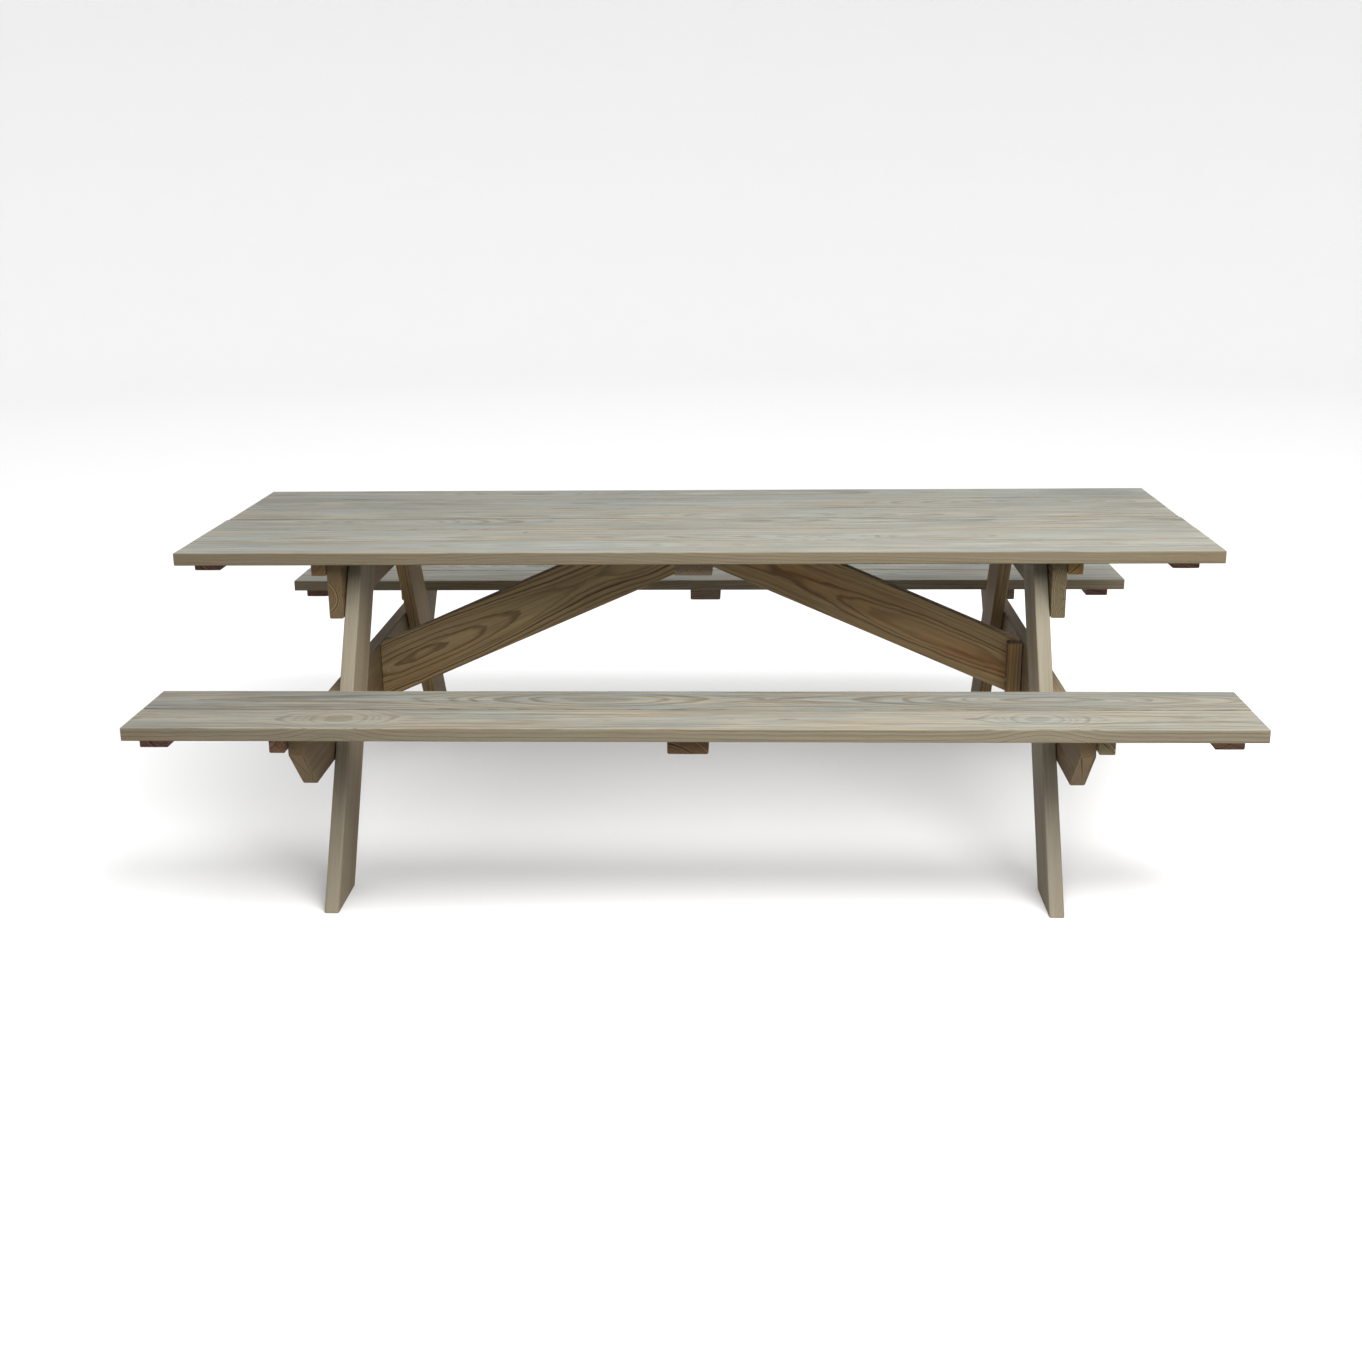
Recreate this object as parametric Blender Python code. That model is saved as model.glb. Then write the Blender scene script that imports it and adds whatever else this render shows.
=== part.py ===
"""Timber picnic table with two attached benches, made of separate boards, frame members and screws.

Metres, +Z up, +X along the boards, the front bench towards -Y. The origin is on the ground under the
middle of the table. Every board, cleat and screw is an object of its own.
"""

import math

import bmesh
import bpy
from mathutils import Matrix, Vector

# Sawn timber stock, and the rounding of its long edges
BOARD_WIDTH = 0.140
DECK_THICKNESS = 0.031
BOARD_THICKNESS = 0.035
CLEAT_WIDTH = 0.089
SQUARE_CLEAT = 0.035
BATTEN_WIDTH = 0.0635
BATTEN_THICKNESS = 0.0245
BLOCK_WIDTH = 0.038
EDGE_RADIUS = 0.004
SMALL_EDGE_RADIUS = 0.003
EDGE_SEGMENTS = 3

# Air left between two faces that touch
CONTACT_GAP = 0.0003

# Table top and benches
TOP_HEIGHT = 0.768
BENCH_HEIGHT = 0.476
BENCH_CENTRE_Y = 0.7097
DECK_GAP = 0.0025
TOP_BOARD_LENGTHS = (2.438, 2.438, 2.438, 2.432, 2.432, 2.432)
BENCH_BOARD_LENGTH = 2.438
TOP_CLEAT_LENGTH = 0.762
BENCH_CLEAT_LENGTH = 0.228
TOP_BATTEN_LENGTH = 0.722
BENCH_BATTEN_LENGTH = 0.216
BATTEN_X = {"left": -1.160, "right": 1.146}

# End frames: crossed legs screwed inside a top cross-member and a seat beam
FRAME_INNER_X = 0.801
FOOT_OUTER_Y = 0.7465
LEG_SLOPE = math.radians(31.5)
CROSSMEMBER_LENGTH = 0.750
SEAT_BEAM_LENGTH = 1.606
SEAT_BEAM_DROP = 0.006
SEAT_BEAM_NOSE = 0.041

# Diagonal braces from the seat beams up to the middle of the top
BRACE_SLOPE = math.radians(23.53)
BRACE_LAP_Y = 0.0176

# Coach screws with washers, driven through each beam into a leg
COACH_RADIUS = 0.00475
COACH_CLEARANCE = 0.0005
COACH_LENGTH = 0.063
COACH_TAPER = 0.009
COACH_SEGMENTS = 24
HEAD_HALF_WIDTH = 0.0071
HEAD_HEIGHT = 0.0062
WASHER_RADIUS = 0.0125
WASHER_THICKNESS = 0.002
COACH_EDGE_OFFSET = 0.042
TOP_COACH_HEIGHTS = {"upper": 0.683, "lower": 0.622}
SEAT_COACH_HEIGHTS = {"upper": 0.402, "lower": 0.334}

# Countersunk wood screws
SCREW_LENGTH = 0.062
SCREW_HEAD_RADIUS = 0.0046
SCREW_RADIUS = 0.0024
SCREW_SEGMENTS = 12

# Levels and planes that follow from the sizes above
TOP_UNDERSIDE = TOP_HEIGHT - DECK_THICKNESS
BENCH_UNDERSIDE = BENCH_HEIGHT - DECK_THICKNESS
FRAME_OUTER_X = FRAME_INNER_X + BOARD_THICKNESS
BEAM_INNER_X = FRAME_OUTER_X + CONTACT_GAP
BEAM_OUTER_X = BEAM_INNER_X + BOARD_THICKNESS
BEAM_CENTRE_X = (BEAM_INNER_X + BEAM_OUTER_X) / 2
SEAT_BEAM_TOP = BENCH_UNDERSIDE - SEAT_BEAM_DROP
SEAT_BEAM_BOTTOM = SEAT_BEAM_TOP - BOARD_WIDTH

SIDES = {"left": -1, "right": 1}
ENDS = {"front": -1, "rear": 1}

# The right brace is the left one turned half way round the upright line through the lap
LAP_LINE = Matrix.Translation((0, BRACE_LAP_Y, 0))
HALF_TURN = LAP_LINE @ Matrix.Rotation(math.pi, 4, "Z") @ LAP_LINE.inverted()
TURNS = {"left": Matrix.Identity(4), "right": HALF_TURN}

# Colour, roughness and metallic value of each finish
FINISHES = {
    "deck": ((0.42, 0.41, 0.34), 0.62, 0.0),
    "frame": ((0.30, 0.27, 0.19), 0.68, 0.0),
    "cleat": ((0.24, 0.17, 0.11), 0.72, 0.0),
    "hardware": ((0.42, 0.42, 0.40), 0.45, 1.0),
}


def clear_scene():
    for old in list(bpy.data.objects):
        bpy.data.objects.remove(old, do_unlink=True)


def new_collection(name):
    collection = bpy.data.collections.new(name)
    bpy.context.scene.collection.children.link(collection)
    return collection


def finish_material(name, finish):
    colour, roughness, metallic = FINISHES[finish]
    material = bpy.data.materials.new(name)
    material.use_nodes = True
    shader = material.node_tree.nodes["Principled BSDF"]
    shader.inputs["Base Color"].default_value = (*colour, 1.0)
    shader.inputs["Roughness"].default_value = roughness
    shader.inputs["Metallic"].default_value = metallic
    material.diffuse_color = (*colour, 1.0)
    return material


def mesh_from(bm, name):
    """Turns the working mesh into mesh data with its faces pointing outwards."""
    bmesh.ops.recalc_face_normals(bm, faces=bm.faces)
    mesh = bpy.data.meshes.new(name)
    bm.to_mesh(mesh)
    bm.free()
    return mesh


def place(name, mesh, finish, frame):
    """Puts one part in the table's collection at its place, with a material of its own."""
    part = bpy.data.objects.new(name, mesh)
    part.matrix_world = frame
    TABLE.objects.link(part)
    if not mesh.materials:
        mesh.materials.append(None)
    part.material_slots[0].link = "OBJECT"
    part.material_slots[0].material = finish_material(name, finish)
    return part


def at(x, y, z):
    return Matrix.Translation((x, y, z))


def timber(size, grain_axis, radius):
    """A sawn piece centred on its origin, with the four edges along the grain rounded."""
    bm = bmesh.new()
    bmesh.ops.create_cube(bm, size=1.0)
    bmesh.ops.scale(bm, vec=size, verts=bm.verts)
    long_edges = [
        edge
        for edge in bm.edges
        if abs(edge.verts[0].co[grain_axis] - edge.verts[1].co[grain_axis]) > 1e-6
    ]
    bmesh.ops.bevel(
        bm,
        geom=long_edges,
        offset=radius,
        segments=EDGE_SEGMENTS,
        profile=0.5,
        affect="EDGES",
    )
    return bm


def saw(bm, frame, point, normal):
    """Saws off what lies beyond a plane given in world space, and closes the cut."""
    to_local = frame.inverted()
    cut = bmesh.ops.bisect_plane(
        bm,
        geom=bm.verts[:] + bm.edges[:] + bm.faces[:],
        plane_co=to_local @ Vector(point),
        plane_no=to_local.to_3x3() @ Vector(normal),
        clear_outer=True,
    )
    rim = [item for item in cut["geom_cut"] if isinstance(item, bmesh.types.BMEdge)]
    bmesh.ops.contextual_create(bm, geom=rim)


# Table top and benches


def deck_rows(count, centre_y):
    """The Y of each board's middle, for boards laid side by side about centre_y."""
    pitch = BOARD_WIDTH + DECK_GAP
    return [centre_y + pitch * (row - (count - 1) / 2) for row in range(count)]


def deck_board(name, length, y, top):
    bm = timber((length, BOARD_WIDTH, DECK_THICKNESS), 0, SMALL_EDGE_RADIUS)
    place(name, mesh_from(bm, name), "deck", at(0, y, top - DECK_THICKNESS / 2))


def build_decks():
    rows = deck_rows(len(TOP_BOARD_LENGTHS), 0)
    for number, (length, y) in enumerate(zip(TOP_BOARD_LENGTHS, rows), start=1):
        deck_board(f"tabletop_board_{number}", length, y, TOP_HEIGHT)
    for end, sign in ENDS.items():
        inner, outer = deck_rows(2, BENCH_CENTRE_Y)
        deck_board(f"{end}_bench_board_inner", BENCH_BOARD_LENGTH, sign * inner, BENCH_HEIGHT)
        deck_board(f"{end}_bench_board_outer", BENCH_BOARD_LENGTH, sign * outer, BENCH_HEIGHT)


# Cleats and battens across the undersides


def crosspiece(name, stock, length, x, y, underside):
    """A cleat or batten of (width, thickness, edge radius) screwed up against some boards."""
    width, thickness, radius = stock
    bm = timber((width, length, thickness), 1, radius)
    z = underside - CONTACT_GAP - thickness / 2
    place(name, mesh_from(bm, name), "cleat", at(x, y, z))


def build_crosspieces():
    square = (SQUARE_CLEAT, SQUARE_CLEAT, SMALL_EDGE_RADIUS)
    flat = (CLEAT_WIDTH, BOARD_THICKNESS, EDGE_RADIUS)
    batten = (BATTEN_WIDTH, BATTEN_THICKNESS, SMALL_EDGE_RADIUS)
    square_x = BEAM_OUTER_X + CONTACT_GAP + SQUARE_CLEAT / 2
    decks = [
        ("tabletop", 0, TOP_UNDERSIDE, TOP_CLEAT_LENGTH, TOP_BATTEN_LENGTH),
        ("front_bench", -BENCH_CENTRE_Y, BENCH_UNDERSIDE, BENCH_CLEAT_LENGTH, BENCH_BATTEN_LENGTH),
        ("rear_bench", BENCH_CENTRE_Y, BENCH_UNDERSIDE, BENCH_CLEAT_LENGTH, BENCH_BATTEN_LENGTH),
    ]
    for deck, y, underside, cleat_length, batten_length in decks:
        crosspiece(f"{deck}_cleat_centre", flat, cleat_length, 0, y, underside)
        for side, sign in SIDES.items():
            crosspiece(f"{deck}_cleat_{side}", square, cleat_length, sign * square_x, y, underside)
            batten_name = f"{deck}_end_batten_{side}"
            crosspiece(batten_name, batten, batten_length, BATTEN_X[side], y, underside)


# End frames


def leg_centre_y(z):
    """Distance of a leg's centre line from the middle of the table at height z."""
    half_width = BOARD_WIDTH / math.cos(LEG_SLOPE) / 2
    return FOOT_OUTER_Y - half_width - z * math.tan(LEG_SLOPE)


def leg(name, side, end, holes):
    x = side * (FRAME_INNER_X + BOARD_THICKNESS / 2)
    top = TOP_UNDERSIDE - CONTACT_GAP
    frame = at(x, end * leg_centre_y(top / 2), top / 2) @ Matrix.Rotation(end * LEG_SLOPE, 4, "X")
    bm = timber((BOARD_THICKNESS, BOARD_WIDTH, 2 * top), 2, EDGE_RADIUS)
    saw(bm, frame, (x, 0, top), (0, 0, 1))
    saw(bm, frame, (x, 0, 0), (0, 0, -1))
    drill(place(name, mesh_from(bm, name), "frame", frame), holes)


def top_crossmember(name, side, holes):
    bm = timber((BOARD_THICKNESS, CROSSMEMBER_LENGTH, BOARD_WIDTH), 1, EDGE_RADIUS)
    z = TOP_UNDERSIDE - CONTACT_GAP - BOARD_WIDTH / 2
    drill(place(name, mesh_from(bm, name), "frame", at(side * BEAM_CENTRE_X, 0, z)), holes)


def seat_beam(name, side, holes):
    """The beam that carries both benches' cleats, sawn off at 45 degrees below each end."""
    frame = at(side * BEAM_CENTRE_X, 0, SEAT_BEAM_TOP - BOARD_WIDTH / 2)
    bm = timber((BOARD_THICKNESS, SEAT_BEAM_LENGTH, BOARD_WIDTH), 1, EDGE_RADIUS)
    for end in ENDS.values():
        nose = (0, end * SEAT_BEAM_LENGTH / 2, SEAT_BEAM_TOP - SEAT_BEAM_NOSE)
        saw(bm, frame, nose, (0, end, -1))
    drill(place(name, mesh_from(bm, name), "frame", frame), holes)


def build_frames():
    for side, sign in SIDES.items():
        holes = HOLES[side]
        for end, direction in ENDS.items():
            leg(f"leg_{end}_{side}", sign, direction, holes)
        top_crossmember(f"top_crossmember_{side}", sign, holes)
        seat_beam(f"seat_beam_{side}", sign, holes)


# Braces, which lap one another under the middle cleat, and the blocks at their feet


def left_brace_frame():
    """The left brace's place, with its foot against the seat beam, level with the beam's top."""
    half_height = BOARD_WIDTH / math.cos(BRACE_SLOPE) / 2
    foot_z = SEAT_BEAM_TOP - half_height
    rise = FRAME_OUTER_X * math.tan(BRACE_SLOPE)
    y = BRACE_LAP_Y - (CONTACT_GAP + BOARD_THICKNESS) / 2
    return at(-FRAME_OUTER_X / 2, y, foot_z + rise / 2) @ Matrix.Rotation(-BRACE_SLOPE, 4, "Y")


def brace_mesh(frame):
    bm = timber((1.3, BOARD_THICKNESS, BOARD_WIDTH), 0, EDGE_RADIUS)
    cleat_bottom = TOP_UNDERSIDE - BOARD_THICKNESS - 2 * CONTACT_GAP
    saw(bm, frame, (-FRAME_OUTER_X, 0, 0), (-1, 0, 0))
    saw(bm, frame, (0, 0, SEAT_BEAM_BOTTOM), (0, 0, -1))
    saw(bm, frame, (0, 0, cleat_bottom), (0, 0, 1))
    saw(bm, frame, (CLEAT_WIDTH / 2, 0, 0), (1, 0, 0))
    return mesh_from(bm, "brace")


def build_braces():
    brace_frame = left_brace_frame()
    block_size = (BLOCK_WIDTH, BOARD_THICKNESS, SEAT_BEAM_TOP - SEAT_BEAM_BOTTOM)
    block_x = -FRAME_OUTER_X + BLOCK_WIDTH / 2
    block_y = BRACE_LAP_Y + (CONTACT_GAP + BOARD_THICKNESS) / 2
    block_frame = at(block_x, block_y, (SEAT_BEAM_TOP + SEAT_BEAM_BOTTOM) / 2)
    brace = brace_mesh(brace_frame)
    block = mesh_from(timber(block_size, 2, SMALL_EDGE_RADIUS), "brace_block")
    for side, turn in TURNS.items():
        drill(place(f"brace_{side}", brace, "frame", turn @ brace_frame), HOLES["middle"])
        drill(place(f"brace_block_{side}", block, "cleat", turn @ block_frame), HOLES["middle"])
        drill(bpy.data.objects[f"seat_beam_{side}"], HOLES["middle"])


# Fasteners


def outline(segments, sides, half_width):
    """Points round the axis: a circle for 0 sides, or a polygon of this half width across its flats."""
    points = []
    for step in range(segments):
        angle = 2 * math.pi * step / segments
        reach = half_width
        if sides:
            sector = 2 * math.pi / sides
            reach = half_width / math.cos((angle % sector) - sector / 2)
        points.append((reach * math.cos(angle), reach * math.sin(angle)))
    return points


def loft(rings, segments):
    """A closed body through rings of (height, sides, half width), one above another."""
    bm = bmesh.new()
    loops = []
    for height, sides, half_width in rings:
        points = outline(segments, sides, half_width)
        loops.append([bm.verts.new((x, y, height)) for x, y in points])
    for lower, upper in zip(loops, loops[1:]):
        for step in range(segments):
            after = (step + 1) % segments
            bm.faces.new((lower[step], lower[after], upper[after], upper[step]))
    bm.faces.new(list(reversed(loops[0])))
    bm.faces.new(loops[-1])
    return bm


def coach_screw_mesh():
    """A coach screw and its washer, with the timber's face at its origin and its head above that."""
    washer_top = CONTACT_GAP + WASHER_THICKNESS
    head_top = washer_top + HEAD_HEIGHT
    chamfer = 0.0008
    rings = [
        (-COACH_LENGTH, 0, 0.0008),
        (-COACH_LENGTH + COACH_TAPER, 0, COACH_RADIUS),
        (CONTACT_GAP, 0, COACH_RADIUS),
        (CONTACT_GAP, 0, WASHER_RADIUS),
        (washer_top, 0, WASHER_RADIUS),
        (washer_top, 6, HEAD_HALF_WIDTH),
        (head_top - chamfer, 6, HEAD_HALF_WIDTH),
        (head_top, 0, HEAD_HALF_WIDTH - chamfer / 2),
    ]
    return mesh_from(loft(rings, COACH_SEGMENTS), "coach_screw")


def coach_hole_mesh():
    """What a coach screw's hole takes out of the beam and the leg behind it."""
    bore = COACH_RADIUS + COACH_CLEARANCE
    rings = [
        (-COACH_LENGTH - COACH_CLEARANCE, 0, 0.0008 + COACH_CLEARANCE),
        (-COACH_LENGTH + COACH_TAPER - COACH_CLEARANCE, 0, bore),
        (BOARD_THICKNESS / 2, 0, bore),
    ]
    return mesh_from(loft(rings, COACH_SEGMENTS), "coach_hole")


def coach_frames(sign, direction):
    """Where a leg takes its coach screws, heads outwards: a diagonal pair at the top and at the seat."""
    facing_out = Matrix.Rotation(sign * math.pi / 2, 4, "Y")
    sideways = COACH_EDGE_OFFSET / math.cos(LEG_SLOPE)
    for joint, heights in (("top", TOP_COACH_HEIGHTS), ("seat", SEAT_COACH_HEIGHTS)):
        for level, z in heights.items():
            y = leg_centre_y(z) + (sideways if level == "upper" else -sideways)
            yield f"{joint}_{level}", at(sign * BEAM_OUTER_X, direction * y, z) @ facing_out


def screw_mesh(name, extra):
    """A countersunk screw with its head flush at its origin, made larger all round by extra."""
    rings = [
        (-SCREW_LENGTH - extra, 0, 0.0004 + extra),
        (-SCREW_LENGTH + 0.008 - extra, 0, SCREW_RADIUS + extra),
        (-0.0035 - extra, 0, SCREW_RADIUS + extra),
        (-0.0008, 0, SCREW_HEAD_RADIUS + extra),
        (4 * extra, 0, SCREW_HEAD_RADIUS + extra),
    ]
    return mesh_from(loft(rings, SCREW_SEGMENTS), name)


def screw_frames():
    """Each screw's place: through each brace and its block, each block and its beam, and the lap."""
    front = BRACE_LAP_Y - CONTACT_GAP / 2 - BOARD_THICKNESS
    middle_z = (SEAT_BEAM_TOP + SEAT_BEAM_BOTTOM) / 2
    to_front = Matrix.Rotation(math.pi / 2, 4, "X")
    to_middle = Matrix.Rotation(math.pi / 2, 4, "Y")
    block_middle = -FRAME_OUTER_X + BLOCK_WIDTH / 2
    block_face = -FRAME_OUTER_X + BLOCK_WIDTH
    brace_screw = at(block_middle, front, middle_z) @ to_front
    block_screw = at(block_face, BRACE_LAP_Y + BOARD_THICKNESS / 2, middle_z - 0.03) @ to_middle
    for side, turn in TURNS.items():
        yield f"brace_screw_{side}", turn @ brace_screw
        yield f"brace_block_screw_{side}", turn @ block_screw
    yield "brace_lap_screw", at(0, front, TOP_UNDERSIDE - 0.058) @ to_front


def cutter(name, mesh, frame, holes):
    tool = bpy.data.objects.new(name, mesh)
    tool.matrix_world = frame
    tool.hide_render = True
    tool.display_type = "WIRE"
    holes.objects.link(tool)


def drill(part, holes):
    """Cuts every hole of a collection that passes through this part."""
    boolean = part.modifiers.new("holes_" + holes.name, "BOOLEAN")
    boolean.operation = "DIFFERENCE"
    boolean.operand_type = "COLLECTION"
    boolean.collection = holes
    boolean.solver = "EXACT"


def build_fasteners():
    coach_screw = coach_screw_mesh()
    hole = coach_hole_mesh()
    for side, sign in SIDES.items():
        for end, direction in ENDS.items():
            for joint, frame in coach_frames(sign, direction):
                place(f"coach_screw_{end}_{side}_{joint}", coach_screw, "hardware", frame)
                cutter(f"hole_{end}_{side}_{joint}", hole, frame, HOLES[side])
    screw = screw_mesh("wood_screw", 0)
    pocket = screw_mesh("wood_screw_pocket", CONTACT_GAP)
    for name, frame in screw_frames():
        place(name, screw, "hardware", frame)
        cutter(f"pocket_{name}", pocket, frame, HOLES["middle"])


def smooth_round_pieces():
    for part in TABLE.objects:
        part.data.shade_smooth()
        part.data.set_sharp_from_angle(angle=math.radians(32))


clear_scene()
TABLE = new_collection("picnic_table")
HOLES = {group: new_collection(f"holes_{group}") for group in ("left", "right", "middle")}
for group in HOLES.values():
    group.hide_render = True

build_fasteners()
build_decks()
build_crosspieces()
build_frames()
build_braces()
smooth_round_pieces()
bpy.context.view_layer.update()
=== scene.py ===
"""Looks for the timber picnic table: detailed timber, fasteners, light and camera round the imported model."""

import math
import random

import bmesh
import bpy
from mathutils import Matrix, Vector, noise


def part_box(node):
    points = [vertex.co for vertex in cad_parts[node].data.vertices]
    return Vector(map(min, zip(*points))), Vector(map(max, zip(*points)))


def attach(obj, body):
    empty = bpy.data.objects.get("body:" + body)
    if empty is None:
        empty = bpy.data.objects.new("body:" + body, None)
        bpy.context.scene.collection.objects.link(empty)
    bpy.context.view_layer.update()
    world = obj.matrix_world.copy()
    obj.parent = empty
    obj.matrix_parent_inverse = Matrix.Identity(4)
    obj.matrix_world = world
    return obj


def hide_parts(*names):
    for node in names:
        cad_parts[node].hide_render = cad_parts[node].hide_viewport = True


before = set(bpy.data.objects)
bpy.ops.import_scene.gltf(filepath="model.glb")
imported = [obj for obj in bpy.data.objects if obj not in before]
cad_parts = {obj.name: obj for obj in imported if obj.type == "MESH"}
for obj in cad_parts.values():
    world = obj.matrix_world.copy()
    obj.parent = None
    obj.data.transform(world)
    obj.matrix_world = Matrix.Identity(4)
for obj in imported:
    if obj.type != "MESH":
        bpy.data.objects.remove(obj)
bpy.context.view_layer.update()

# Sizes of the timber that the pieces are cut from, in metres
LEG_SLOPE = math.radians(31.5)
BRACE_SLOPE = math.radians(23.53)
BOARD_WIDTH = 0.140
BOARD_THICKNESS = 0.035
SEAT_BEAM_NOSE = 0.041
EDGE_RADIUS = 0.004
SMALL_EDGE_RADIUS = 0.003

# Blanks are longer than the pieces sawn from them
SAWING_ALLOWANCE = 0.02
LEG_BLANK = 1.1
BRACE_BLANK = 1.3

# How real timber departs from straight and square
CORNER_SEGMENTS = 6
STATION_STEP = 0.05
FLAT_STEP = 0.024
SKIN = 0.0003
WAVE = 0.00022
CUP = 0.0004
SAWN_ARRIS = 0.0008
CAP_INSET = 0.003
SMOOTH_ANGLE = math.radians(22)

# Without a seed of its own, the noise that waves the timber differs from run to run
NOISE_SEED = 1

# Fasteners, in metres. A rim is the radius of a countersunk head
HEAD_AND_WASHER = 0.0085
COACH_SHANK_RADIUS = 0.0046
COACH_HEAD_HALF_WIDTH = 0.0070
WASHER_RADIUS = 0.0123
THREAD_PITCH = 0.0016
THREAD_DEPTH = 0.0006
SCREW_RIM = 0.0044
DECK_SCREW_RIM = 0.0042
METAL_SMOOTH_ANGLE = math.radians(30)

# The studio: even light from all round and one soft box, over a round floor that curves up into a wall
WORLD_STRENGTH = 1.7
SOFTBOX_SIZE = 2.4
SOFTBOX_POWER = 196
SOFTBOX_PLACE = (0.9, -1.9, 2.6)
SOFTBOX_AIM = (0.4, 0.0, 0.6)
FLOOR_COLOUR = (0.66, 0.66, 0.66, 1.0)
FLOOR_RADIUS = 11.0
FLOOR_LIFT = 5.0
WALL_TOP = 9.0
FLOOR_SEGMENTS = 96

# The camera: where it stands, how it is turned in radians, and its lens
CAMERA_PLACE = (0.13561, -4.19334, 1.55646)
CAMERA_YAW = 0.044019
CAMERA_PITCH = -0.283544
CAMERA_ROLL = 0.011639
LENS_MM = 43.94
SENSOR_MM = 36.0

SIDES = {"left": -1, "right": 1}
ENDS = {"front": -1, "rear": 1}
HALF_PI = math.pi / 2

LAP_PLANE_Y = sum(corner.y for node in ("brace_left", "brace_right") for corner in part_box(node)) / 4

# Colours are linear RGB. Early and late are the soft and the hard part of each growth ring, heart is the tint
# of the redder wood, cool and warm are the streaks that daylight leaves on an upper face, and up is the range
# of slopes over which a face counts as an upper one. The paler, cooler colour of the upper faces is partly
# real weathering and partly painted sky light, and the weathering amount sets how far they go to it. Streaks
# is how strong the light and dark streaks are on the sides and on the upper faces.
LOOKS = {
    "deck": {
        "early": (0.096, 0.080, 0.052),
        "late": (0.063, 0.046, 0.026),
        "heart": (0.88, 0.76, 0.64),
        "cool": (0.117, 0.141, 0.141),
        "warm": (0.167, 0.153, 0.122),
        "contrast": 0.95,
        "weathering_and_sky_light": 0.92,
        "streaks": (0.35, 1.0),
        "up": (0.72, 0.97),
        "ring": 0.0052,
    },
    "leg": {
        "early": (0.137, 0.116, 0.079),
        "late": (0.087, 0.066, 0.038),
        "heart": (0.84, 0.72, 0.58),
        "cool": (0.147, 0.134, 0.101),
        "warm": (0.154, 0.140, 0.107),
        "contrast": 0.28,
        "weathering_and_sky_light": 0.9,
        "streaks": (0.4, 0.4),
        "up": (0.10, 0.45),
        "ring": 0.0042,
    },
    # The rear legs are the legs' timber; their darker, browner early and late colours are painted shade and
    # warm bounce from under the tabletop, while their upper faces keep the legs' weathered colours.
    "rear_leg": {
        "early": (0.130, 0.089, 0.040),
        "late": (0.060, 0.034, 0.011),
        "heart": (0.86, 0.70, 0.52),
        "cool": (0.147, 0.134, 0.101),
        "warm": (0.154, 0.140, 0.107),
        "contrast": 0.8,
        "weathering_and_sky_light": 0.9,
        "streaks": (0.6, 0.6),
        "up": (0.10, 0.45),
        "ring": 0.0046,
    },
    # Beams and braces are darker and browner than the legs, partly their own wood and partly painted shade
    # from under the tabletop.
    "beam": {
        "early": (0.108, 0.075, 0.038),
        "late": (0.059, 0.035, 0.015),
        "heart": (0.90, 0.80, 0.68),
        "cool": (0.136, 0.109, 0.075),
        "warm": (0.152, 0.114, 0.074),
        "contrast": 0.85,
        "weathering_and_sky_light": 0.6,
        "streaks": (0.7, 0.7),
        "up": (0.6, 0.95),
        "ring": 0.0040,
    },
    "brace": {
        "early": (0.148, 0.105, 0.051),
        "late": (0.047, 0.025, 0.008),
        "heart": (0.96, 0.74, 0.56),
        "cool": (0.126, 0.097, 0.060),
        "warm": (0.139, 0.092, 0.050),
        "contrast": 1.0,
        "weathering_and_sky_light": 0.4,
        "streaks": (1.0, 1.0),
        "up": (0.6, 0.95),
        "ring": 0.0060,
    },
    "cleat": {
        "early": (0.155, 0.115, 0.075),
        "late": (0.059, 0.033, 0.017),
        "heart": (0.92, 0.80, 0.68),
        "cool": (0.157, 0.122, 0.087),
        "warm": (0.174, 0.122, 0.078),
        "contrast": 0.95,
        "weathering_and_sky_light": 0.3,
        "streaks": (0.6, 0.6),
        "up": (0.6, 0.95),
        "ring": 0.0042,
    },
    "batten": {
        "early": (0.113, 0.061, 0.041),
        "late": (0.056, 0.024, 0.016),
        "heart": (0.90, 0.74, 0.66),
        "cool": (0.144, 0.090, 0.072),
        "warm": (0.162, 0.090, 0.063),
        "contrast": 0.9,
        "weathering_and_sky_light": 0.2,
        "streaks": (0.8, 0.8),
        "up": (0.6, 0.95),
        "ring": 0.0040,
    },
}


# Cleats whose front ends show nearly straight rings on the slant. Tint is how far one's colour is from the
# common cleat colour: partly its own wood and partly painted shade.
END_GRAINS = {
    "front_bench_cleat_left": {"pith_y": 0.10, "pith_z": 0.10, "ring": 0.0052, "tint": (0.82, 0.61, 0.51)},
    "tabletop_cleat_left": {"pith_y": -0.10, "pith_z": 0.07, "ring": 0.0042, "tint": (1.07, 0.92, 0.68)},
    "tabletop_cleat_centre": {"pith_y": -0.08, "pith_z": 0.07, "ring": 0.0042},
    "tabletop_cleat_right": {"pith_y": 0.08, "pith_z": 0.08, "ring": 0.0042, "tint": (1.09, 0.94, 0.46)},
    "front_bench_cleat_right": {"pith_y": 0.09, "pith_z": -0.08, "ring": 0.0044, "tint": (0.81, 0.84, 0.64)},
    "front_bench_cleat_centre": {"pith_y": 0.05, "pith_z": -0.09, "ring": 0.0044, "tint": (0.50, 0.38, 0.25)},
}


# Timber meshes


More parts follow.
